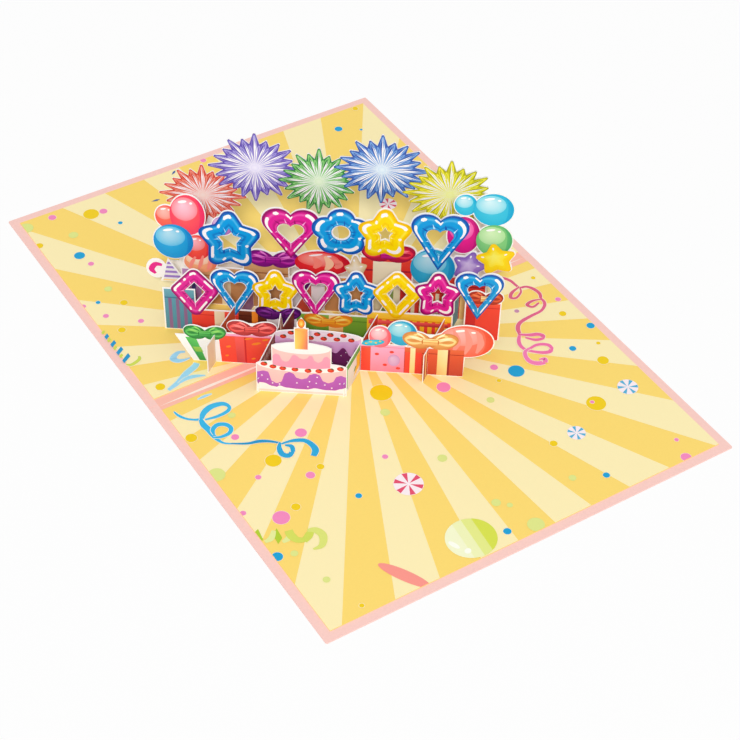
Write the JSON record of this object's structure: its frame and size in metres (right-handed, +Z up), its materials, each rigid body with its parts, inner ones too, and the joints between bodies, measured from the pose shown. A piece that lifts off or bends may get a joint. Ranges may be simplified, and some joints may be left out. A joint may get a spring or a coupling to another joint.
{
  "type": "pop up card",
  "caption": "Open greeting card with a folded cover and a slotted lattice of upright printed sheets: cake, gifts, balloons and a fireworks arch.",
  "frame": {"origin": "centre of the fold on the underside of the cover, which is the bottom centre of the open card", "axes": "X along the fold, Y from the front panel to the back panel, Z up from the underside of the cover"},
  "size_m": [0.2, 0.2926, 0.0877],
  "materials": {
    "pink_cover_card": "matt uncoated card",
    "printed_panel_card": "matt card printed with yellow sun rays",
    "pop_up_card_stock": "white card, printed on both faces with a soft gloss"
  },
  "bodies": {
    "root": {"card_cover": "pink_cover_card", "front_panel_print": "printed_panel_card", "back_panel_print": "printed_panel_card", "cake_front": "pop_up_card_stock", "front_gift_row": "pop_up_card_stock", "second_row": "pop_up_card_stock", "first_row": "pop_up_card_stock", "fireworks_arch": "pop_up_card_stock", "left_cross_sheet": "pop_up_card_stock", "cake_left_side": "pop_up_card_stock", "cake_right_side": "pop_up_card_stock", "right_cross_sheet": "pop_up_card_stock"}
  },
  "joints": []
}
